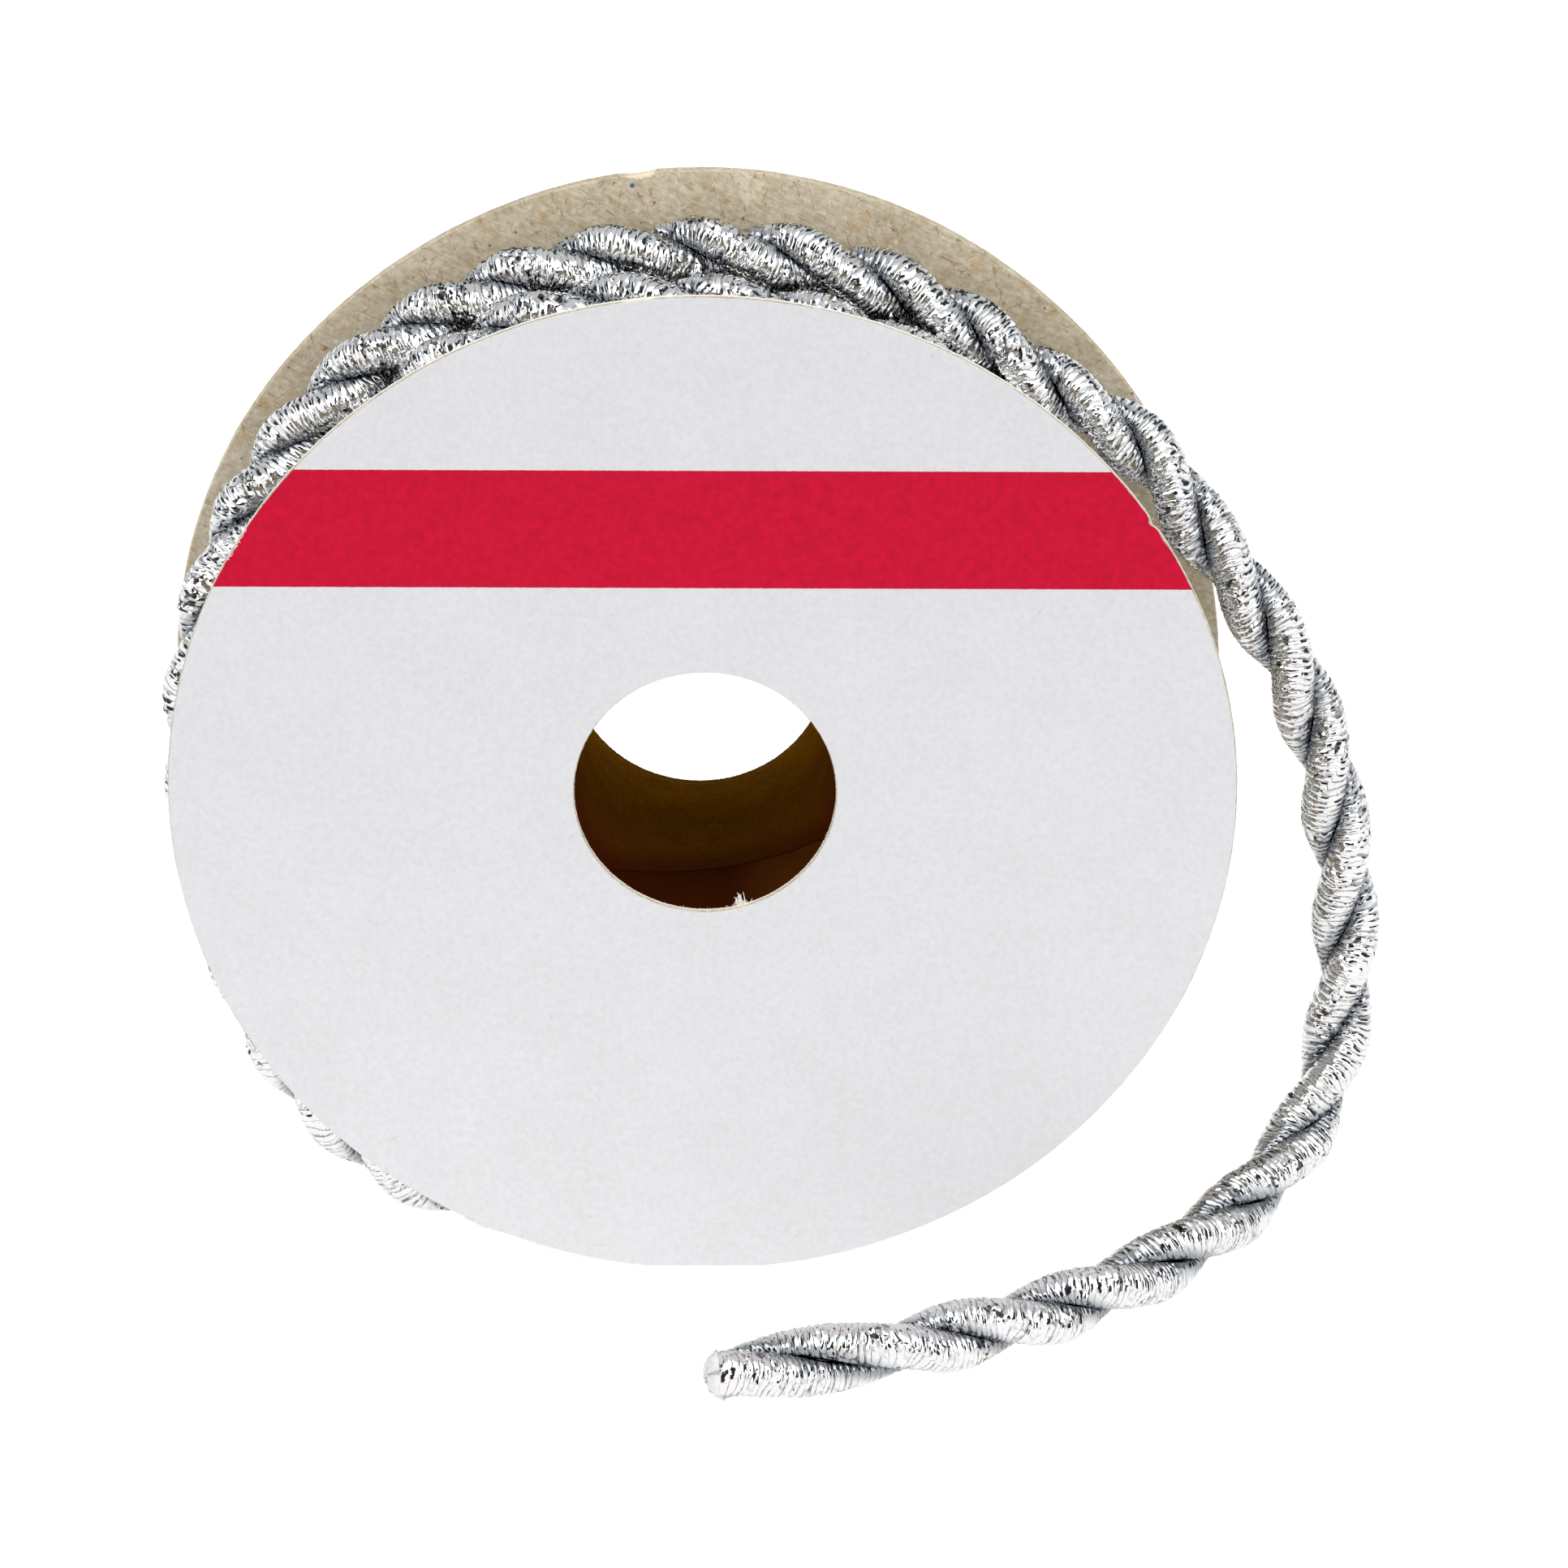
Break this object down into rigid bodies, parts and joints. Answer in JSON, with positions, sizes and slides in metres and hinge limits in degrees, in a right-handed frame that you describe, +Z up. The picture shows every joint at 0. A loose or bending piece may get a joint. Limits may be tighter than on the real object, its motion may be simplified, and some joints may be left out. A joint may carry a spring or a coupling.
{
  "type": "metallic cord trim on a spool",
  "caption": "Twisted silver metallic cord wound on a cardboard spool standing on its rims, with a loose end curling to the front.",
  "frame": {"origin": "on the surface the spool stands on, under the middle of its axle", "axes": "+Z up, +Y along the axle away from the printed face, +X to the right as seen from the printed face"},
  "size_m": [0.0886, 0.0477, 0.0759],
  "materials": {
    "chipboard": "matt grey-brown board with fibres and specks",
    "printed_paper": "smooth off-white paper with a plain red band",
    "core_board": "matt dark brown tube",
    "metallic_cord": "crinkled silver metallised thread wrapped crosswise"
  },
  "bodies": {
    "root": {"flange_front": "chipboard", "flange_back": "chipboard", "label": "printed_paper", "core": "core_board", "winding": "metallic_cord", "loose_end": "metallic_cord"}
  },
  "joints": []
}
